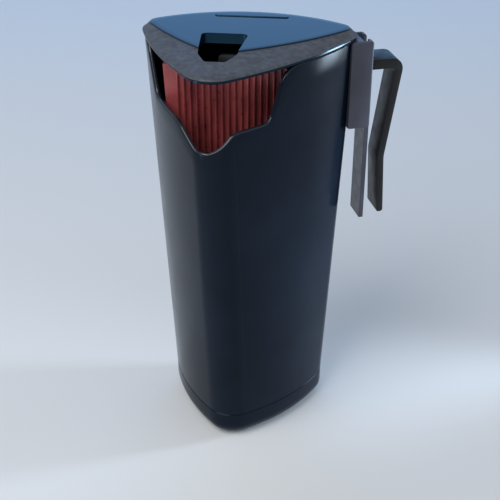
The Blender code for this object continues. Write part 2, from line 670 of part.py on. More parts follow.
def make_shaft():
    at = (PUMP_X, PUMP_Y, 0.0)
    low, high = 0.0106, WELL_TOP - GAP
    shaft = turned("rotor_shaft", [(0.0, high), (SHAFT_R, high), (SHAFT_R, low), (0.0, low)], at, 20)
    as_part(shaft, "ceramic")
    seat = SHAFT_R + 0.0001
    for name, top, foot, radius in (("bush_upper", WELL_TOP - GAP, 0.0508, WELL_R - GAP),
                                    ("bush_lower", 0.0142, 0.0106, 0.0028)):
        bush = turned(name, [(seat, top), (radius, top), (radius, foot), (seat, foot)], at, 20)
        as_part(bush, "rubber")


def make_impeller_chamber():
    """The volute: a cup under the motor, with a duct back to the riser's socket."""
    top = CAN_LOW - GAP
    outer = CHAMBER_R + 0.0020
    at = (PUMP_X, PUMP_Y)
    duct_z, duct_r = 0.0170, 0.0052
    cup = rod("impeller_chamber", outer, CHAMBER_LOW, top, at, 32)
    lay = Matrix.Translation((0.0, 0.0, duct_z)) @ Matrix.Rotation(-math.pi / 2.0, 4, "X")
    duct = rod("duct_outer", duct_r, -0.0020, RISER_Y, steps=20, place=lay)
    socket = rod("riser_socket", RISER_R + 0.0014, CHAMBER_LOW, top, (0.0, RISER_Y), 24)
    hollow = rod("duct_bore", duct_r - 0.0014, -0.0025, RISER_Y, steps=20, place=lay)
    well = rod("socket_bore", RISER_R + 0.0001, 0.0200, top + 0.001, (0.0, RISER_Y), 24)
    throat = rod("socket_throat", RISER_R - 0.0012, 0.0145, 0.0210, (0.0, RISER_Y), 24)
    bore = rod("chamber_bore", CHAMBER_R, CHAMBER_LOW - 0.001, top + 0.001, at, 32)
    return as_part(cut(join(cup, duct, socket), bore, hollow, throat, well), "pump")


def make_chamber_cover():
    """Bottom cover with the inlet eye; three spokes hold the lower bush."""
    high = CHAMBER_LOW - GAP
    low = high - 0.0022
    outer, eye = CHAMBER_R + 0.0020, 0.0070
    cover = turned("chamber_cover", [(eye, high), (outer, high), (outer, low), (eye, low)],
                   (PUMP_X, PUMP_Y, 0.0), 32)
    hub = turned("cover_hub", [(0.0, HUB_TOP), (HUB_R, HUB_TOP), (HUB_R, low), (0.0, low)],
                 (PUMP_X, PUMP_Y, 0.0), 20)
    spokes = []
    for i in range(3):
        turn = Matrix.Rotation(math.pi * (0.5 + 2.0 * i / 3.0), 4, "Z")
        place = Matrix.Translation((PUMP_X, PUMP_Y, 0.0)) @ turn
        spokes.append(block(f"spoke_{i}", (0.0030, -0.0009, low), (eye + 0.002, 0.0009, HUB_TOP), place))
    return as_part(join(cover, hub, *spokes), "pump")


def make_pump_feet():
    """Rubber feet between the chamber's cover and the base."""
    for i in range(3):
        angle = math.pi * (0.5 + 2.0 * i / 3.0) + math.pi / 3.0
        x = PUMP_X + (CHAMBER_R - 0.0010) * math.cos(angle)
        y = PUMP_Y + (CHAMBER_R - 0.0010) * math.sin(angle)
        top = CHAMBER_LOW - GAP - 0.0022 - GAP
        low = WALL + GAP
        foot = turned(f"pump_foot_{i + 1}", [(0.0, top), (0.0026, top), (0.0030, low), (0.0, low)],
                      (x, y, 0.0), 16)
        as_part(foot, "rubber")


make_body_shell()
make_base_grille()
make_media_basin()
make_riser_tube()
make_riser_seal()
make_lid()
make_mount_rail()
make_hanger_clip()
make_cartridge()
make_bio_scrubber()
make_pump_housing()
make_pump_cap()
make_cord_gland()
make_stator()
make_rotor()
make_shaft()
make_impeller_chamber()
make_chamber_cover()
make_pump_feet()
bpy.context.view_layer.update()
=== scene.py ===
"""Looks of the internal power filter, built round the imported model.

Metres, +Z up, in the model's own frame: nose to -Y, back wall to +Y, hanger at the +X back corner.
Big mouldings are rebuilt here with fine surfaces from the plan's arcs. The rest of the model's
nodes keep their shape and get softened edges and their own materials.
"""

import math
import random

import bmesh
import bpy
import numpy as np
from mathutils import Matrix, Vector


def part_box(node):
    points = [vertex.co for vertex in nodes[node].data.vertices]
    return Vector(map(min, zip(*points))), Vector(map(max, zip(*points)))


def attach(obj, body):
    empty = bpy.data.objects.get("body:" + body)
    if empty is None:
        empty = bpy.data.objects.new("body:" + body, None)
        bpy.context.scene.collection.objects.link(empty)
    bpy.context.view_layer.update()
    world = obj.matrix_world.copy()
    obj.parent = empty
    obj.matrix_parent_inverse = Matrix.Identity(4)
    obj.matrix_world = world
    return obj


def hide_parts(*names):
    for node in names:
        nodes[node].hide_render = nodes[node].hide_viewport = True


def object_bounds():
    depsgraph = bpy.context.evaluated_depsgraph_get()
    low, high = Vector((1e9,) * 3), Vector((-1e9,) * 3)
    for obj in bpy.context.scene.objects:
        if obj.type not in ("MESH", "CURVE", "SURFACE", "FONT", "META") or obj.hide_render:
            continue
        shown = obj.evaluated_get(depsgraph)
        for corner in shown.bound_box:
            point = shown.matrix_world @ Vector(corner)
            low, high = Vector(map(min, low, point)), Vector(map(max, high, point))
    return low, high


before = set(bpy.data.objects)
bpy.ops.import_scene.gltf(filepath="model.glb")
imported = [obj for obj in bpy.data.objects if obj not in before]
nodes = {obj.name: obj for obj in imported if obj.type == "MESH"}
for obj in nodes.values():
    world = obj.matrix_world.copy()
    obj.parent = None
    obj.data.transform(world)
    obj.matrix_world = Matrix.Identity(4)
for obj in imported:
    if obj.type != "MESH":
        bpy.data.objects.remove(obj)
cad_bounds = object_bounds()

# ---------------------------------------------------------------- sizes
BODY_LOW, BODY_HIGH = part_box("body_shell")
BASE_LOW, BASE_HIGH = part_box("base_grille")
LID_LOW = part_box("lid")[0]
SCRUB_LOW, SCRUB_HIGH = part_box("bio_scrubber")

GAP = 0.0003
WALL = 0.0022
FOOT_Z = 0.014               # height that PLAN_FOOT belongs to
RIM_Z = BODY_HIGH.z
EDGE_R = 0.008               # rounding of the underside's edge
CHAMFER = 0.0004             # on the moulded edges of the base and lid
BASE_SLOTS = ((-0.0145, 0.0090), (-0.0095, 0.0140), (0.0065, 0.0140), (0.0115, 0.0140))  # Y, half length
BASE_SLOT_HALF = 0.0012      # half of a slot's width
BACK_SLOT_COUNT = 5
BACK_SLOT_PITCH = 0.0060
BACK_SLOT_HALF = 0.0170
BACK_SLOT_LOW, BACK_SLOT_HIGH = 0.0240, 0.0268     # Z of the lowest slot in the back wall
BACK_SLOT_REACH = (0.015, 0.040)                   # Y that its cutter spans
LID_Z = RIM_Z + GAP
LID_EDGE = 0.0020
LID_RISE = 0.0024
LID_PROUD = 0.0008           # how far the lid stands past the shell all round
TAB_HALF, TAB_FROM, TAB_TO, TAB_THICK = 0.0030, 0.0312, 0.0358, 0.0026    # the tab at the lid's back
BAR_HALF, BAR_FROM, BAR_TO = 0.0160, 0.0235, 0.0261                       # the plain bar on its panel
CORNER_R = 0.0012            # corners of the tab and bar
RIB_OUT, RIB_IN = WALL + 0.0007, WALL + 0.0022    # insets of the locating rib under the lid
SCRUB_FOOT_HALF = 0.0283     # half the width of the scrubber's foot
FLUTE_PITCH, FLUTE_DEEP = 0.0027, 0.0016
COLUMNS = 520                # points round the shell's rim
ROWS = 22                    # rows up the shell's wall
LAST_S = 5.9999999           # just short of 6, which would wrap to 0
SWAP_Y_Z = Matrix(((1, 0, 0, 0), (0, 0, 1, 0), (0, 1, 0, 0), (0, 0, 0, 1)))
SMOOTH_UNDER = 40.0          # degrees: edges that turn less than this are shaded smooth

PLAN_RIM = {"corner_x": 0.0384, "corner_y": 0.0140, "corner_r": 0.0066, "back_r": 0.070,
            "nose_x": -0.0083, "nose_y": -0.0337, "nose_r": 0.0113, "side_r": 0.180}
PLAN_FOOT = {"corner_x": 0.0265, "corner_y": 0.0120, "corner_r": 0.0100, "back_r": 0.060,
             "nose_x": -0.0045, "nose_y": -0.0160, "nose_r": 0.0140, "side_r": 0.085}
PLAN_CREASE = {"corner_x": 0.0370, "corner_y": 0.0142, "corner_r": 0.0058, "back_r": 0.070,
               "nose_x": -0.0075, "nose_y": -0.0120, "nose_r": 0.0105, "side_r": 0.140}
HOLE_HALF = 0.0098           # the lid's finger hole: half its width, and where it starts and ends in Y
HOLE_BACK = 0.0010
HOLE_FRONT = -0.0300
MOUTH_TURN = math.radians(-25.0)
SHELF = RIM_Z - 0.0220       # height of the shelf beside the spillway
LIP = RIM_Z - 0.0300         # height of the spillway's lip

# Camera: the direction and distance it looks from, and what it looks at
CAMERA_AZIMUTH = 6.65        # degrees
CAMERA_ELEVATION = 30.85     # degrees
CAMERA_DISTANCE = 0.45
CAMERA_AIM = Vector((0.003, -0.008, 0.093))
CAMERA_FILL = 1.10           # how much taller the view is than the object
RIM_SPREAD = 50.0            # degrees: keeps most of the rim lights off the floor
FLOOR_HALF = 4.0
FLOOR_GAP = 0.0002           # between the floor and the base


# ---------------------------------------------------------------- outlines
def evenly(stations, points, count):
    """Count values at even spacing along the closed run of points that belong to the stations."""
    steps = [(b - a).length for a, b in zip(points, points[1:])]
    travel = np.concatenate([[0.0], np.cumsum(steps)])
    return list(np.interp(np.linspace(0.0, travel[-1], count, endpoint=False), travel, stations))


def arc_centre(a, a_r, b, b_r, radius):
    """Centre of the arc that circles a and b touch from inside, on the left of a to b."""
    span = b - a
    reach = span.length
    along = ((radius - a_r) ** 2 - (radius - b_r) ** 2 + reach ** 2) / (2.0 * reach)
    across = math.sqrt((radius - a_r) ** 2 - along ** 2)
    step = span / reach
    return a + step * along + Vector((-step.y, step.x)) * across


class Outline:
    """The rounded-triangle plan as six arcs; s runs from 0 to 6 anticlockwise from the nose."""

    def __init__(self, plan):
        nose = Vector((plan["nose_x"], plan["nose_y"]))
        right = Vector((plan["corner_x"], plan["corner_y"]))
        left = Vector((-plan["corner_x"], plan["corner_y"]))
        nose_r, corner_r = plan["nose_r"], plan["corner_r"]
        side_r, back_r = plan["side_r"], plan["back_r"]
        to_right = arc_centre(nose, nose_r, right, corner_r, side_r)
        to_left = arc_centre(right, corner_r, left, corner_r, back_r)
        to_nose = arc_centre(left, corner_r, nose, nose_r, side_r)
        self.arcs = [self.span(to_right, side_r, nose - to_right, right - to_right),
                     self.span(right, corner_r, right - to_right, right - to_left),
                     self.span(to_left, back_r, right - to_left, left - to_left),
                     self.span(left, corner_r, left - to_left, left - to_nose),
                     self.span(to_nose, side_r, left - to_nose, nose - to_nose),
                     self.span(nose, nose_r, nose - to_nose, nose - to_right)]

    @staticmethod
    def span(centre, radius, start, end):
        first = math.atan2(start.y, start.x)
        last = math.atan2(end.y, end.x)
        if last < first:
            last += 2.0 * math.pi
        return centre, radius, first, last

    def point(self, s, inset=0.0):
        s %= 6.0
        centre, radius, first, last = self.arcs[int(s)]
        turn = first + (last - first) * (s - int(s))
        reach = radius - inset
        return Vector((centre.x + reach * math.cos(turn), centre.y + reach * math.sin(turn)))

    def even(self, count, inset=0.0):
        """Values of s for count points at even spacing round the outline."""
        fine = np.linspace(0.0, 6.0, 1801)
        return evenly(fine, [self.point(min(s, LAST_S), inset) for s in fine], count)


def plan_at(z):
    """The shell's plan at height z, which tapers evenly from rim to foot."""
    t = (z - FOOT_Z) / (RIM_Z - FOOT_Z)
    return {key: PLAN_FOOT[key] + (PLAN_RIM[key] - PLAN_FOOT[key]) * t for key in PLAN_RIM}


def wall_point(s, z, inset=0.0):
    x, y = Outline(plan_at(z)).point(s, inset)
    return Vector((x, y, z))


def rounded(corners, steps=10):
    """A polygon from (x, y, radius) corners, with an arc of that radius at each one."""
    points = []
    for i, (x, y, radius) in enumerate(corners):
        here = Vector((x, y))
        if radius == 0.0:
            points.append((x, y))
            continue
        back = (Vector(corners[i - 1][:2]) - here).normalized()
        ahead = (Vector(corners[(i + 1) % len(corners)][:2]) - here).normalized()
        half = back.angle(ahead) / 2.0
        middle = here + (back + ahead).normalized() * (radius / math.sin(half))
        start = here + back * (radius / math.tan(half)) - middle
        turn = start.angle_signed(here + ahead * (radius / math.tan(half)) - middle)
        for k in range(steps + 1):
            spoke = start.copy()
            spoke.rotate(Matrix.Rotation(-turn * k / steps, 2))
            points.append(tuple(middle + spoke))
    return points


def slot_outline(x0, x1, y0, y1):
    """A slot with round ends."""
    radius = (y1 - y0) / 2.0 * 0.98
    return rounded([(x0, y0, radius), (x1, y0, radius), (x1, y1, radius), (x0, y1, radius)])


# The rim's height against the distance out along the mouth's direction: level, then an S to the lip
RIM_CURVE = rounded([(-0.0600, RIM_Z, 0.0), (0.0130, RIM_Z, 0.0090), (0.0200, SHELF + 0.0005, 0.0040),
                     (0.0360, SHELF, 0.0060), (0.0425, LIP, 0.0), (0.0700, LIP - 0.0001, 0.0)], 14)
RIM_OUT = [out for out, z in RIM_CURVE]
RIM_HEIGHT = [z for out, z in RIM_CURVE]


def rim_point(s, inset=0.0):
    """The point of the wall's top edge at s, found in steps because the wall tapers."""
    z = RIM_Z - 0.010
    for _ in range(14):
        x, y, _z = wall_point(s, z, inset)
        out = x * math.sin(MOUTH_TURN) - y * math.cos(MOUTH_TURN)
        z += 0.7 * (float(np.interp(out, RIM_OUT, RIM_HEIGHT)) - z)
    return wall_point(s, z, inset)


def centre_x(plan, y):
    """X of the plan's centre line at y: on the nose's centre in front, on X = 0 between the corners."""
    return plan["nose_x"] * (plan["corner_y"] - y) / (plan["corner_y"] - plan["nose_y"])


# ---------------------------------------------------------------- mesh helpers
def shade(mesh, smooth=SMOOTH_UNDER):
    mesh.shade_smooth()
    mesh.set_sharp_from_angle(angle=math.radians(smooth))


def piece(name, bm, smooth=SMOOTH_UNDER):
    """A new object from a finished bmesh."""
    mesh = bpy.data.meshes.new(name)
    bm.to_mesh(mesh)
    bm.free()
    shade(mesh, smooth)
    obj = bpy.data.objects.new(name, mesh)
    bpy.context.scene.collection.objects.link(obj)
    return obj


def bridge(bm, low, high):
    """Quads between two equal loops of vertices."""
    for i in range(len(low)):
        j = (i + 1) % len(low)
        bm.faces.new((low[i], low[j], high[j], high[i]))


def rings_mesh(name, rings, closed=False, bottom=False, top=False, smooth=SMOOTH_UNDER):
    """Quads between equal rings; closed joins the last ring to the first."""
    bm = bmesh.new()
    loops = [[bm.verts.new(p) for p in ring] for ring in rings]
    pairs = list(zip(loops, loops[1:]))
    if closed:
        pairs.append((loops[-1], loops[0]))
    for low, high in pairs:
        bridge(bm, low, high)
    if bottom:
        bm.faces.new(list(reversed(loops[0])))
    if top:
        bm.faces.new(loops[-1])
    return piece(name, bm, smooth)


def prism(name, points, low, high, place=None):
    """A closed outline given thickness along Z, then placed by a matrix."""
    bm = bmesh.new()
    face = bm.faces.new([bm.verts.new((x, y, low)) for x, y in points])
    made = bmesh.ops.extrude_face_region(bm, geom=[face])
    top = [v for v in made["geom"] if isinstance(v, bmesh.types.BMVert)]
    bmesh.ops.translate(bm, verts=top, vec=(0.0, 0.0, high - low))
    if place is not None:
        bmesh.ops.transform(bm, matrix=place, verts=bm.verts)
    bmesh.ops.recalc_face_normals(bm, faces=bm.faces)
    return piece(name, bm)


def apply_modifiers(obj):
    """Write the result of the object's modifiers into its mesh."""
    bpy.context.view_layer.update()
    graph = bpy.context.evaluated_depsgraph_get()
    mesh = bpy.data.meshes.new_from_object(obj.evaluated_get(graph))
    obj.modifiers.clear()
    obj.data = mesh


def carve(obj, cutters, operation="DIFFERENCE"):
    """Cut the cutters out of the object, or join them on, and remove them."""
    for cutter in cutters:
        step = obj.modifiers.new("carve", "BOOLEAN")
        step.operation = operation
        step.object = cutter
        step.solver = "EXACT"
    apply_modifiers(obj)
    for cutter in cutters:
        bpy.data.objects.remove(cutter, do_unlink=True)
    shade(obj.data)


def soften(obj, width, limit=40.0):
    """Round the edges that turn more than limit degrees."""
    bevel = obj.modifiers.new("edge", "BEVEL")
    bevel.width = width
    bevel.segments = 2
    bevel.limit_method = "ANGLE"
    bevel.angle_limit = math.radians(limit)


def polish(node, width, material):
    """Soften a model node's edges, which come from model.glb as split triangles."""
    obj = nodes[node]
    normals = obj.data.attributes.get("custom_normal")
    if normals is not None:
        obj.data.attributes.remove(normals)
    weld = obj.modifiers.new("weld", "WELD")
    weld.merge_threshold = 0.000002
    if width > 0.0:
        soften(obj, width, 38.0)
    for face in obj.data.polygons:
        face.use_smooth = True
    split = obj.modifiers.new("crease", "EDGE_SPLIT")
    split.split_angle = math.radians(34.0)
    paint(obj, material)


def paint(obj, *found):
    """Give the object these materials and no others."""
    obj.data.materials.clear()
    for material in found:
        obj.data.materials.append(material)


def dress(obj, body, slot, *replaced):
    """Give a new piece its body and hide the nodes that it stands for; slot is not used."""
    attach(obj, body)
    if replaced:
        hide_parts(*replaced)


# ---------------------------------------------------------------- materials
class Nodes:
    """A material's node tree, with short calls for what repeats."""

    def __init__(self, name, colour, rough, metal=0.0):
        self.material = bpy.data.materials.new(name)
        self.material.use_nodes = True
        self.tree = self.material.node_tree
        self.shader = self.tree.nodes["Principled BSDF"]
        self.set("Base Color", (*colour, 1.0))
        self.set("Roughness", rough)
        self.set("Metallic", metal)
        self.place = self.tree.nodes.new("ShaderNodeTexCoord").outputs["Object"]

    def set(self, socket, value):
        self.shader.inputs[socket].default_value = value
        return self

    def link(self, out, into):
        self.tree.links.new(out, into)

    def noise(self, scale, detail, stretch=None):
        node = self.tree.nodes.new("ShaderNodeTexNoise")
        node.inputs["Scale"].default_value = scale
        node.inputs["Detail"].default_value = detail
        source = self.place
        if stretch is not None:
            mapping = self.tree.nodes.new("ShaderNodeMapping")
            mapping.inputs["Scale"].default_value = stretch
            self.link(self.place, mapping.inputs["Vector"])
            source = mapping.outputs["Vector"]
        self.link(source, node.inputs["Vector"])
        return node.outputs["Fac"]

    def cells(self, scale, output="Distance"):
        node = self.tree.nodes.new("ShaderNodeTexVoronoi")
        node.inputs["Scale"].default_value = scale
        self.link(self.place, node.inputs["Vector"])
        return node.outputs[output]

    def bands(self, scale, direction="Z"):
        node = self.tree.nodes.new("ShaderNodeTexWave")
        node.wave_type = "BANDS"
        node.bands_direction = direction
        node.inputs["Scale"].default_value = scale
        self.link(self.place, node.inputs["Vector"])
        return node.outputs["Fac"]

    def tint(self, value, dark, light, start=0.35, stop=0.65):
        """Colour from dark to light as value goes from start to stop."""
        node = self.tree.nodes.new("ShaderNodeValToRGB")
        node.color_ramp.elements[0].position = start
        node.color_ramp.elements[1].position = stop
        node.color_ramp.elements[0].color = (*dark, 1.0)
        node.color_ramp.elements[1].color = (*light, 1.0)
        self.link(value, node.inputs["Fac"])
        self.link(node.outputs["Color"], self.shader.inputs["Base Color"])
        return self

    def roughness(self, value, low, high):
        """Roughness from low to high as value goes from 0.3 to 0.7."""
        node = self.tree.nodes.new("ShaderNodeMapRange")
        node.inputs["From Min"].default_value = 0.3
        node.inputs["From Max"].default_value = 0.7
        node.inputs["To Min"].default_value = low
        node.inputs["To Max"].default_value = high
        self.link(value, node.inputs["Value"])
        self.link(node.outputs["Result"], self.shader.inputs["Roughness"])
        return self

    def bump(self, *layers):
        """Stack bumps of (height value, distance in metres, strength)."""
        last = None
        for value, distance, strength in layers:
            node = self.tree.nodes.new("ShaderNodeBump")
            node.inputs["Distance"].default_value = distance
            node.inputs["Strength"].default_value = strength
            self.link(value, node.inputs["Height"])
            if last is not None:
                self.link(last, node.inputs["Normal"])
            last = node.outputs["Normal"]
        self.link(last, self.shader.inputs["Normal"])
        return self


def gloss_plastic(name, dark, light, rough, grain, specular):
    """Injection-moulded plastic: a soft ripple, fine grain and handling marks in the gloss."""
    made = Nodes(name, light, rough)
    made.tint(made.noise(30.0, 3.0), dark, light)
    made.roughness(made.noise(70.0, 5.0), rough * 0.85, rough * 1.25)
    made.bump((made.noise(22.0, 0.0), 0.00040, 0.06), (made.noise(2600.0, 2.0), 0.00003, grain))
    return made.set("IOR", 1.46).set("Specular IOR Level", specular)


def satin_plastic(name, dark, light, rough, scales, depth=0.00005, grain=0.45):
    """Moulded plastic with a spark-eroded grain; the scales are of its colour, gloss and grain."""
    made = Nodes(name, light, rough[0])
    made.tint(made.noise(scales[0], 4.0), dark, light)
    made.roughness(made.noise(scales[1], 5.0), *rough)
    return made.bump((made.noise(scales[2], 3.0), depth, grain))


def make_materials():
    found = {}
    shell = gloss_plastic("shell_gloss", (0.0048, 0.0088, 0.0165), (0.0068, 0.0122, 0.0225),
                          rough=0.17, grain=0.20, specular=0.11)
    found["shell"] = shell.material

    # Painted highlight: lighter colours and stronger gloss for the bead's upward faces, which are the
    # shell's own plastic.
    rim = gloss_plastic("shell_rim_painted_highlight", (0.0060, 0.0100, 0.0175), (0.0090, 0.0150, 0.0250),
                        rough=0.20, grain=0.20, specular=0.70)
    found["rim"] = rim.material

    # Painted shade: a darker copy of the shell's plastic for the inner faces, the basin and the riser tube.
    inner = gloss_plastic("shell_inner_painted_shade", (0.0035, 0.0045, 0.0065), (0.0055, 0.0070, 0.0100),
                          rough=0.45, grain=0.35, specular=0.30)
    found["inner"] = inner.material

    panel = gloss_plastic("lid_panel", (0.0040, 0.0095, 0.0190), (0.0055, 0.0125, 0.0240),
                          rough=0.13, grain=0.12, specular=0.50)
    # The blue specular tint is a painted reflection: it colours the panel's gloss blue.
    panel.set("Specular Tint", (0.16, 0.62, 1.0, 1.0))
    found["panel"] = panel.material

    # Painted reflection: the band is the panel's navy-black plastic, and its grey colour stands in for the
    # surroundings it reflects.
    band = Nodes("lid_band_painted_reflection", (0.026, 0.028, 0.034), 0.55)
    band.tint(band.noise(420.0, 4.0), (0.046, 0.050, 0.062), (0.082, 0.088, 0.106))
    band.roughness(band.noise(160.0, 5.0), 0.48, 0.66)
    band.bump((band.cells(1500.0), 0.00012, 0.60), (band.noise(3000.0, 3.0), 0.00006, 0.50))
    found["band"] = band.material

    rail = satin_plastic("rail_satin", (0.040, 0.042, 0.062), (0.058, 0.060, 0.088),
                         rough=(0.30, 0.46), scales=(60.0, 220.0, 2200.0))
    found["rail"] = rail.material

    hanger = satin_plastic("hanger_satin", (0.0045, 0.0045, 0.0055), (0.0080, 0.0080, 0.0095),
                           rough=(0.32, 0.50), scales=(50.0, 180.0, 1900.0))
    hanger.set("Specular IOR Level", 0.35)
    found["hanger"] = hanger.material

    pump = satin_plastic("pump_plastic", (0.010, 0.010, 0.012), (0.020, 0.020, 0.023),
                         rough=(0.36, 0.56), scales=(70.0, 240.0, 1700.0), depth=0.00007, grain=0.50)
    found["pump"] = pump.material

    scrub = Nodes("scrubber_plastic", (0.16, 0.022, 0.026), 0.35)
    scrub.tint(scrub.noise(120.0, 6.0, (1.0, 1.0, 0.35)), (0.240, 0.042, 0.052), (0.500, 0.105, 0.105))
    scrub.roughness(scrub.noise(300.0, 5.0), 0.22, 0.50)
    scrub.bump((scrub.noise(900.0, 4.0), 0.00016, 0.55))
    found["scrubber"] = scrub.material

    media = Nodes("media_plastic", (0.030, 0.033, 0.038), 0.42)
    media.tint(media.noise(80.0, 4.0), (0.022, 0.024, 0.028), (0.040, 0.044, 0.050))
    media.roughness(media.noise(260.0, 4.0), 0.34, 0.50)
    media.bump((media.noise(1600.0, 2.0), 0.00005, 0.40))
    found["media"] = media.material

    floss = Nodes("floss_fibre", (0.72, 0.80, 0.84), 0.95)
    floss.tint(floss.noise(260.0, 8.0), (0.56, 0.68, 0.75), (0.86, 0.91, 0.93))
    floss.bump((floss.noise(700.0, 9.0), 0.00070, 0.90),
               (floss.noise(2400.0, 4.0, (0.4, 1.0, 1.6)), 0.00020, 0.80))
    floss.set("Sheen Weight", 0.6).set("Sheen Roughness", 0.6)
    floss.set("Subsurface Weight", 0.20).set("Subsurface Radius", (0.002, 0.002, 0.002))
    found["floss"] = floss.material

    carbon = Nodes("carbon_grain", (0.012, 0.012, 0.012), 0.75)
    carbon.tint(carbon.cells(420.0, output="Color"), (0.004, 0.004, 0.004), (0.030, 0.029, 0.028), 0.2, 0.9)
    carbon.roughness(carbon.noise(700.0, 4.0), 0.45, 0.95)
    carbon.bump((carbon.cells(420.0), 0.00120, 1.00), (carbon.noise(1500.0, 5.0), 0.0003, 0.60))
    found["carbon"] = carbon.material

    steel = Nodes("stator_laminations", (0.38, 0.38, 0.39), 0.42, 1.0)
    steel.tint(steel.bands(640.0), (0.16, 0.16, 0.17), (0.44, 0.44, 0.45), 0.1, 0.5)
    steel.roughness(steel.noise(300.0, 4.0), 0.34, 0.55)
    steel.bump((steel.bands(640.0), 0.00012, 0.90))
    found["steel"] = steel.material

    copper = Nodes("coil_wire", (0.62, 0.24, 0.10), 0.30, 1.0)
    copper.tint(copper.bands(900.0, "X"), (0.28, 0.09, 0.035), (0.70, 0.30, 0.13), 0.1, 0.6)
    copper.roughness(copper.noise(400.0, 4.0), 0.22, 0.40)
    copper.bump((copper.bands(900.0, "X"), 0.00020, 1.00))
    found["copper"] = copper.material

    magnet = Nodes("ferrite", (0.040, 0.038, 0.038), 0.60, 0.2)
    magnet.tint(magnet.noise(900.0, 6.0), (0.025, 0.024, 0.024), (0.060, 0.057, 0.055))
    magnet.bump((magnet.noise(1800.0, 5.0), 0.00008, 0.60))
    found["magnet"] = magnet.material

    ceramic = Nodes("ceramic", (0.80, 0.79, 0.74), 0.18)
    ceramic.tint(ceramic.noise(500.0, 3.0), (0.76, 0.74, 0.69), (0.85, 0.84, 0.80))
    ceramic.bump((ceramic.noise(2500.0, 2.0), 0.00002, 0.30))
    found["ceramic"] = ceramic.material

    wheel = Nodes("impeller_plastic", (0.64, 0.65, 0.62), 0.36)
    wheel.tint(wheel.noise(90.0, 4.0), (0.58, 0.59, 0.56), (0.70, 0.71, 0.68))
    wheel.bump((wheel.noise(1500.0, 3.0), 0.00005, 0.40))
    found["impeller"] = wheel.material

    rubber = Nodes("rubber", (0.020, 0.020, 0.020), 0.70)
    rubber.tint(rubber.noise(150.0, 5.0), (0.014, 0.014, 0.014), (0.028, 0.028, 0.028))
    rubber.roughness(rubber.noise(320.0, 5.0), 0.60, 0.82)
    rubber.bump((rubber.noise(1400.0, 4.0), 0.00010, 0.55))
    found["rubber"] = rubber.material

    return found


materials = make_materials()


# ---------------------------------------------------------------- shell
def rim_columns():
    """Values of s for the shell's columns, evenly spaced along the rim's own curve."""
    fine = np.linspace(0.0, 6.0, 1501)
    return evenly(fine, [rim_point(min(s, LAST_S)) for s in fine], COLUMNS)


def make_shell():
    """The body: outer wall, a rounded bead along the rim and the inner wall, as one closed skin."""
    half = WALL / 2.0
    foot = BODY_LOW.z
    stations = rim_columns()
    outer_edge = [rim_point(s) for s in stations]
    inner_edge = [wall_point(s, p.z, WALL) for s, p in zip(stations, outer_edge)]
    middle = [(a + b) / 2.0 for a, b in zip(outer_edge, inner_edge)]
    outer, bead, inner = [], [], []
    for i, s in enumerate(stations):
        tangent = (middle[(i + 1) % COLUMNS] - middle[i - 1]).normalized()
        outward = (outer_edge[i] - inner_edge[i]).normalized()
        down = outward.cross(tangent)
        if down.z > 0.0:
            down = -down
        down.normalize()
        along = wall_point(s + 0.002, outer_edge[i].z) - wall_point(s - 0.002, outer_edge[i].z)
        shifted = s + half * down.dot(along.normalized()) * 0.004 / along.length
        top = outer_edge[i].z + half * down.z
        heights = [foot + (top - foot) * k / ROWS for k in range(ROWS)]
        outer.append([wall_point(shifted, z) for z in heights])
        inner.append([wall_point(shifted, z, WALL) for z in reversed(heights)])
        centre = middle[i] + down * half
        turns = [math.pi * k / 8.0 for k in range(9)]
        bead.append([centre + (outward * math.cos(t) - down * math.sin(t)) * half for t in turns])
    columns = [a + b + c for a, b, c in zip(outer, bead, inner)]
    rings = [[column[row] for column in columns] for row in range(len(columns[0]))]
    shell = rings_mesh("body_shell_moulding", rings, closed=True)
    cutters = []
    for i in range(BACK_SLOT_COUNT):
        up = BACK_SLOT_PITCH * i
        slot = slot_outline(-BACK_SLOT_HALF, BACK_SLOT_HALF, BACK_SLOT_LOW + up, BACK_SLOT_HIGH + up)
        cutters.append(prism(f"slot_cutter_{i}", slot, *BACK_SLOT_REACH, SWAP_Y_Z))
    carve(shell, cutters)
    paint(shell, materials["shell"], materials["inner"], materials["rim"])
    for face in shell.data.polygons:
        outward = Vector((face.center.x - centre_x(PLAN_RIM, -0.010), face.center.y + 0.010, 0.0))
        # The bead's upward faces take the rim material, a painted highlight.
        if face.normal.z > 0.35:
            face.material_index = 2
        # Inward-facing faces take the darker inner material, painted shade.
        elif face.normal.dot(outward) < -0.0005:
            face.material_index = 1
    dress(shell, "housing", "shell", "body_shell")


# ---------------------------------------------------------------- base
def make_base():
    """The strainer base: flat underside, rounded edge, a lip that plugs into the shell, and slots."""
    foot = Outline(PLAN_FOOT)
    stations = foot.even(240)
    top = BODY_LOW.z - GAP

    def ring(z, inset):
        return [(*foot.point(s, inset), z) for s in stations]

    turns = [math.pi / 2.0 * i / 12 for i in range(13)]
    rings = [ring(EDGE_R * (1.0 - math.cos(t)), EDGE_R * (1.0 - math.sin(t))) for t in turns]
    lip_out, lip_in, lip_top = WALL + GAP, WALL + 0.0018, BASE_HIGH.z
    rings += [ring(top - CHAMFER, 0.0), ring(top, CHAMFER),
              ring(top, lip_out), ring(lip_top - CHAMFER, lip_out), ring(lip_top, lip_out + CHAMFER),
              ring(lip_top, lip_in - CHAMFER), ring(lip_top - CHAMFER, lip_in),
              ring(0.0060, lip_in), ring(0.0040, lip_in + 0.0012), ring(WALL, lip_in + 0.0050)]
    base = rings_mesh("base_grille_moulding", rings, bottom=True, top=True)
    cutters = []
    for row, (y, half) in enumerate(BASE_SLOTS):
        middle = centre_x(PLAN_FOOT, y)
        slot = slot_outline(middle - half, middle + half, y - BASE_SLOT_HALF, y + BASE_SLOT_HALF)
        cutters.append(prism(f"base_cutter_{row}", slot, -0.002, 0.0035))
    carve(base, cutters)
    paint(base, materials["shell"])
    dress(base, "base", "shell", "base_grille")


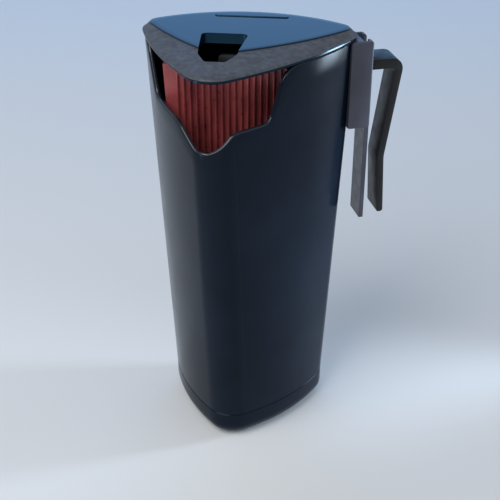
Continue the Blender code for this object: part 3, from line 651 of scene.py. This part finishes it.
# ---------------------------------------------------------------- lid
def lid_hole(grow=0.0):
    """Finger hole: straight at the back, narrowing towards the nose, moved out by grow."""
    back, front = HOLE_BACK + grow, HOLE_FRONT - grow
    knee = (HOLE_BACK + 3.0 * HOLE_FRONT) / 4.0
    middle = PLAN_RIM["nose_x"]
    half, knee_half, front_half = HOLE_HALF + grow, HOLE_HALF * 0.80 + grow, HOLE_HALF * 0.42 + grow
    return rounded([(middle - half, back, 0.0026), (middle - knee_half, knee, 0.0060),
                    (middle - front_half, front, 0.0022), (middle + front_half, front, 0.0022),
                    (middle + knee_half, knee, 0.0060), (middle + half, back, 0.0026)])


def make_lid():
    """Glossy panel with a step down to a sloping front band, cut by the finger hole."""
    edge, crease = Outline(PLAN_RIM), Outline(PLAN_CREASE)
    stations = edge.even(300, -LID_PROUD)
    top = LID_Z + LID_EDGE + LID_RISE
    brow = LID_Z + LID_EDGE

    def ring(z, inset):
        return [(*edge.point(s, inset - LID_PROUD), z) for s in stations]

    def slope(t, drop=0.0, inset=0.0):
        """A ring on the band, a fraction t of the way from the brow up to the crease."""
        points = []
        for s in stations:
            out = edge.point(s, 0.0011 - LID_PROUD)
            into = crease.point(s, inset)
            x, y = out.lerp(into, t)
            points.append((x, y, brow + (top - 0.0005 - brow) * t ** 0.85 - drop))
        return points

    rings = [ring(LID_Z, CHAMFER), ring(LID_Z + CHAMFER, 0.0), ring(brow - 0.0008, 0.0),
             ring(brow - 0.0003, 0.0003), ring(brow - 0.0001, 0.0006)]
    rings += [slope(t) for t in (0.0, 0.15, 0.35, 0.55, 0.75, 0.92, 0.985)]
    rings += [slope(1.0, 0.00015), slope(1.0, -0.0001, 0.00015), slope(1.0, -0.00040, 0.00040)]
    rings.append([(*crease.point(s, 0.0008), top) for s in stations])
    rings.append([(*crease.point(s, 0.0030), top) for s in stations])
    lid = rings_mesh("lid_moulding", rings, bottom=True, top=True, smooth=30.0)
    recess = [crease.point(s, 0.0040) for s in crease.even(160)]
    hollow = prism("lid_hollow", recess, LID_Z - 0.002, brow + 0.0004)
    carve(lid, [hollow])
    rib = prism("lid_rib", lid_hole(0.0018), LID_Z, brow + 0.001)
    tab_plan = rounded([(-TAB_HALF, TAB_FROM, 0.0), (TAB_HALF, TAB_FROM, 0.0),
                        (TAB_HALF, TAB_TO, CORNER_R), (-TAB_HALF, TAB_TO, CORNER_R)])
    tab = prism("lid_tab", tab_plan, LID_Z, LID_Z + TAB_THICK)
    carve(lid, [rib, tab], "UNION")
    carve(lid, [prism("hole_cutter", lid_hole(), LID_Z - 0.010, LID_Z + 0.020)])
    paint(lid, materials["panel"], materials["band"])
    for face in lid.data.polygons:
        here = face.center
        over = here.z > LID_Z + 0.0002 and face.normal.z > 0.2
        if over and here.z < top - 0.00045 and here.y < 0.0175:
            face.material_index = 1
    skirt = make_skirt()
    bar_plan = rounded([(-BAR_HALF, BAR_FROM, CORNER_R), (BAR_HALF, BAR_FROM, CORNER_R),
                        (BAR_HALF, BAR_TO, CORNER_R), (-BAR_HALF, BAR_TO, CORNER_R)])
    bar = prism("lid_bar", bar_plan, top - 0.0008, top + 0.0004)
    soften(bar, 0.0003)
    for extra in (bar, skirt):
        paint(extra, materials["panel"])
        dress(extra, "lid", "lid")
    dress(lid, "lid", "lid", "lid")


def make_skirt():
    """Locating rib under the lid's back edge, inside the shell's wall."""
    edge = Outline(PLAN_RIM)
    reached = [s for s in np.linspace(0.5, 4.5, 400) if edge.point(s, RIB_IN).y > 0.0125]
    stations = np.linspace(reached[0], reached[-1], 140)
    low, high = LID_LOW.z, LID_Z + 0.0005
    bm = bmesh.new()
    rows = []
    for s in stations:
        out, into = edge.point(s, RIB_OUT), edge.point(s, RIB_IN)
        profile = [(*out, high), (*out, low + 0.0003), (*out.lerp(into, 0.2), low),
                   (*out.lerp(into, 0.8), low), (*into, low + 0.0003), (*into, high)]
        rows.append([bm.verts.new(point) for point in profile])
    for a, b in zip(rows, rows[1:]):
        bridge(bm, b, a)
    bm.faces.new(rows[0])
    bm.faces.new(list(reversed(rows[-1])))
    bmesh.ops.recalc_face_normals(bm, faces=bm.faces)
    return piece("lid_skirt", bm)


# ---------------------------------------------------------------- media
def make_scrubber():
    """A plate with rounded vertical ribs, a flat head bar and a foot bar."""
    low, high = SCRUB_LOW.z, SCRUB_HIGH.z
    back, front = SCRUB_HIGH.y, SCRUB_LOW.y
    middle = (SCRUB_LOW.x + SCRUB_HIGH.x) / 2.0
    head = SCRUB_HIGH.x - middle
    count = int(2.0 * SCRUB_FOOT_HALF / FLUTE_PITCH)
    levels, steps = 28, 12
    bm = bmesh.new()
    rows = []
    for k in range(levels + 1):
        t = k / levels
        z = low + (high - low) * t
        half = SCRUB_FOOT_HALF + (head - SCRUB_FOOT_HALF) * t
        fade = min(1.0, min(t, 1.0 - t) * 16.0)
        line = [(middle - half, back), (middle - half, front + FLUTE_DEEP)]
        for i in range(count * steps + 1):
            x = FLUTE_PITCH * (i / steps - count / 2.0)
            wave = max(0.0, math.cos(2.0 * math.pi * (i / steps - 0.5))) ** 0.6
            line.append((middle + x, front + FLUTE_DEEP * (1.0 - wave * fade)))
        line += [(middle + half, front + FLUTE_DEEP), (middle + half, back)]
        rows.append([bm.verts.new((x, y, z)) for x, y in line])
    for a, b in zip(rows, rows[1:]):
        bridge(bm, a, b)
    bm.faces.new(list(reversed(rows[0])))
    bm.faces.new(rows[-1])
    bmesh.ops.recalc_face_normals(bm, faces=bm.faces)
    plate = piece("bio_scrubber_plate", bm, 60.0)
    paint(plate, materials["scrubber"])
    dress(plate, "scrubber", "scrubber", "bio_scrubber")


def make_pad(node, seed):
    """Needled floss: a crowned pad with a pinched edge and an uneven fibrous face."""
    low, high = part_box(node)
    centre, size = (low + high) / 2.0, (high - low) / 2.0
    draw = random.Random(seed)
    lumps = [(draw.uniform(-1, 1), draw.uniform(-1, 1), draw.uniform(0.06, 0.25), draw.uniform(-0.16, 0.16))
             for _ in range(90)]
    across, up = 72, 88

    def height(u, v):
        """Half the pad's thickness at u, v, which both run from -1 to 1."""
        edge = max(abs(u), abs(v))
        crown = 0.22 + 0.62 * math.sqrt(min(1.0, max(0.0, (1.0 - edge) / 0.20)))
        lump = sum(a * math.exp(-((u - x) ** 2 + (v - y) ** 2) / r ** 2) for x, y, r, a in lumps)
        return size.y * min(0.98, max(0.12, crown + lump * (0.5 if edge < 0.85 else 0.1)))

    bm = bmesh.new()
    grids = []
    for side in (-1, 1):
        grid = []
        for i in range(across + 1):
            column = []
            for k in range(up + 1):
                u, v = 2.0 * i / across - 1.0, 2.0 * k / up - 1.0
                x = centre.x + size.x * u * (1.0 - 0.020 * (1.0 - v * v) * abs(u) ** 6)
                z = centre.z + size.z * v * (1.0 - 0.016 * (1.0 - u * u) * abs(v) ** 6)
                column.append(bm.verts.new((x, centre.y + side * height(u, v), z)))
            grid.append(column)
        for a, b in zip(grid, grid[1:]):
            for k in range(up):
                bm.faces.new((a[k], b[k], b[k + 1], a[k + 1]))
        grids.append(grid)
    border = ([(i, 0) for i in range(across)] + [(across, k) for k in range(up)]
              + [(i, up) for i in range(across, 0, -1)] + [(0, k) for k in range(up, 0, -1)])
    front, back = ([grid[i][k] for i, k in border] for grid in grids)
    bridge(bm, front, back)
    bmesh.ops.recalc_face_normals(bm, faces=bm.faces)
    pad = piece(f"{node}_fibre", bm, 75.0)
    paint(pad, materials["floss"])
    dress(pad, "cartridge", "floss", node)


def make_carbon():
    """Carbon granules packed in the cartridge's window, as one pebbled block."""
    low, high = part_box("carbon_bed")
    draw = random.Random(11)
    bm = bmesh.new()
    bmesh.ops.create_cube(bm, size=1.0)
    bmesh.ops.subdivide_edges(bm, edges=bm.edges, cuts=20, use_grid_fill=True)
    bmesh.ops.scale(bm, verts=bm.verts, vec=(high - low) * 0.985)
    bmesh.ops.translate(bm, verts=bm.verts, vec=(low + high) / 2.0)
    for vert in bm.verts:
        vert.co += Vector([draw.uniform(-0.00014, 0.00014) for _ in range(3)])
    block = piece("carbon_granules", bm, 20.0)
    paint(block, materials["carbon"])
    dress(block, "cartridge", "carbon", "carbon_bed")


# ---------------------------------------------------------------- the model's own nodes
KEPT = {    # node: (width of its softened edges, material)
    "mount_rail": (0.0005, "rail"),
    "hanger_clip": (0.0006, "hanger"),
    # The basin and riser take the darker inner material, painted shade.
    "media_basin": (0.0003, "inner"),
    "riser_tube": (0.0002, "inner"),
    "riser_seal": (0.0, "rubber"),
    "cartridge_frame": (0.0004, "media"),
    "pump_housing": (0.0004, "pump"),
    "pump_cap": (0.0004, "pump"),
    "impeller_chamber": (0.0003, "pump"),
    "chamber_cover": (0.0002, "pump"),
    "cord_gland": (0.0003, "rubber"),
    "stator_core": (0.0002, "steel"),
    "coil_left": (0.0004, "copper"),
    "coil_right": (0.0004, "copper"),
    "rotor_magnet": (0.0003, "magnet"),
    "impeller": (0.0001, "impeller"),
    "rotor_shaft": (0.0002, "ceramic"),
    "bush_upper": (0.0002, "rubber"),
    "bush_lower": (0.0002, "rubber"),
    "pump_foot_1": (0.0003, "rubber"),
    "pump_foot_2": (0.0003, "rubber"),
    "pump_foot_3": (0.0003, "rubber"),
}


# ---------------------------------------------------------------- studio
def area_light(name, at, aim, size, power, colour, spread=180.0):
    """A rectangular light at one place that faces another, hidden from the camera."""
    light = bpy.data.lights.new(name, "AREA")
    light.spread = math.radians(spread)
    light.shape = "RECTANGLE"
    light.size, light.size_y = size
    light.energy = power
    light.color = colour
    obj = bpy.data.objects.new(name, light)
    bpy.context.scene.collection.objects.link(obj)
    obj.location = at
    obj.rotation_mode = "QUATERNION"
    obj.rotation_quaternion = (Vector(at) - Vector(aim)).to_track_quat("Z", "Y")
    obj.visible_camera = False


def make_studio():
    """Pale floor and world, a warm key light, a blue light for the lid and two rim lights."""
    bpy.context.scene.view_settings.view_transform = "Standard"
    world = bpy.data.worlds.new("studio")
    bpy.context.scene.world = world
    world.use_nodes = True
    back = world.node_tree.nodes["Background"]
    back.inputs["Color"].default_value = (0.82, 0.88, 0.95, 1.0)
    back.inputs["Strength"].default_value = 0.45

    bm = bmesh.new()
    bmesh.ops.create_grid(bm, x_segments=1, y_segments=1, size=FLOOR_HALF)
    floor = piece("floor", bm)
    floor.location.z = BASE_LOW.z - FLOOR_GAP
    ground = Nodes("floor_pale", (0.80, 0.81, 0.82), 0.75)
    ground.bump((ground.noise(40.0, 3.0), 0.0002, 0.08))
    paint(floor, ground.material)

    area_light("key", (-0.45, -0.60, 1.00), (0.0, 0.0, 0.100), (0.80, 0.80), 8.0, (1.0, 0.97, 0.93))
    area_light("top_back", (-0.10, 0.85, 0.45), (0.0, 0.0, 0.100), (1.30, 0.50), 2.6, (0.0, 0.28, 0.74))
    for name, at, aim, power in (("right_rim", (0.215, 0.055, 0.095), (0.040, 0.014, 0.085), 0.10),
                                 ("nose_rim", (-0.200, -0.165, 0.075), (-0.010, -0.040, 0.070), 0.02)):
        area_light(name, at, aim, (0.035, 0.150), power, (0.66, 0.82, 1.0), RIM_SPREAD)


def make_camera():
    """A camera at the given direction and distance, with a lens that fits the object."""
    data = bpy.data.cameras.new("camera")
    camera = bpy.data.objects.new("camera", data)
    bpy.context.scene.collection.objects.link(camera)
    bpy.context.scene.camera = camera
    azimuth, elevation = math.radians(CAMERA_AZIMUTH), math.radians(CAMERA_ELEVATION)
    level = math.cos(elevation)
    back = Vector((math.sin(azimuth) * level, -math.cos(azimuth) * level, math.sin(elevation)))
    camera.location = CAMERA_AIM + back * CAMERA_DISTANCE
    camera.rotation_mode = "QUATERNION"
    camera.rotation_quaternion = back.to_track_quat("Z", "Y")
    low, high = cad_bounds
    tall = (high.z - low.z) * level + (high.y - low.y) * math.sin(elevation)
    data.sensor_width = 36.0
    data.lens = data.sensor_width * CAMERA_DISTANCE / (tall * CAMERA_FILL)
    data.clip_start, data.clip_end = 0.01, 20.0


# ---------------------------------------------------------------- build
make_shell()
make_base()
make_lid()
make_scrubber()
make_pad("floss_pad_front", 3)
make_pad("floss_pad_back", 5)
make_carbon()
for name, (width, key) in KEPT.items():
    polish(name, width, materials[key])
make_studio()
make_camera()
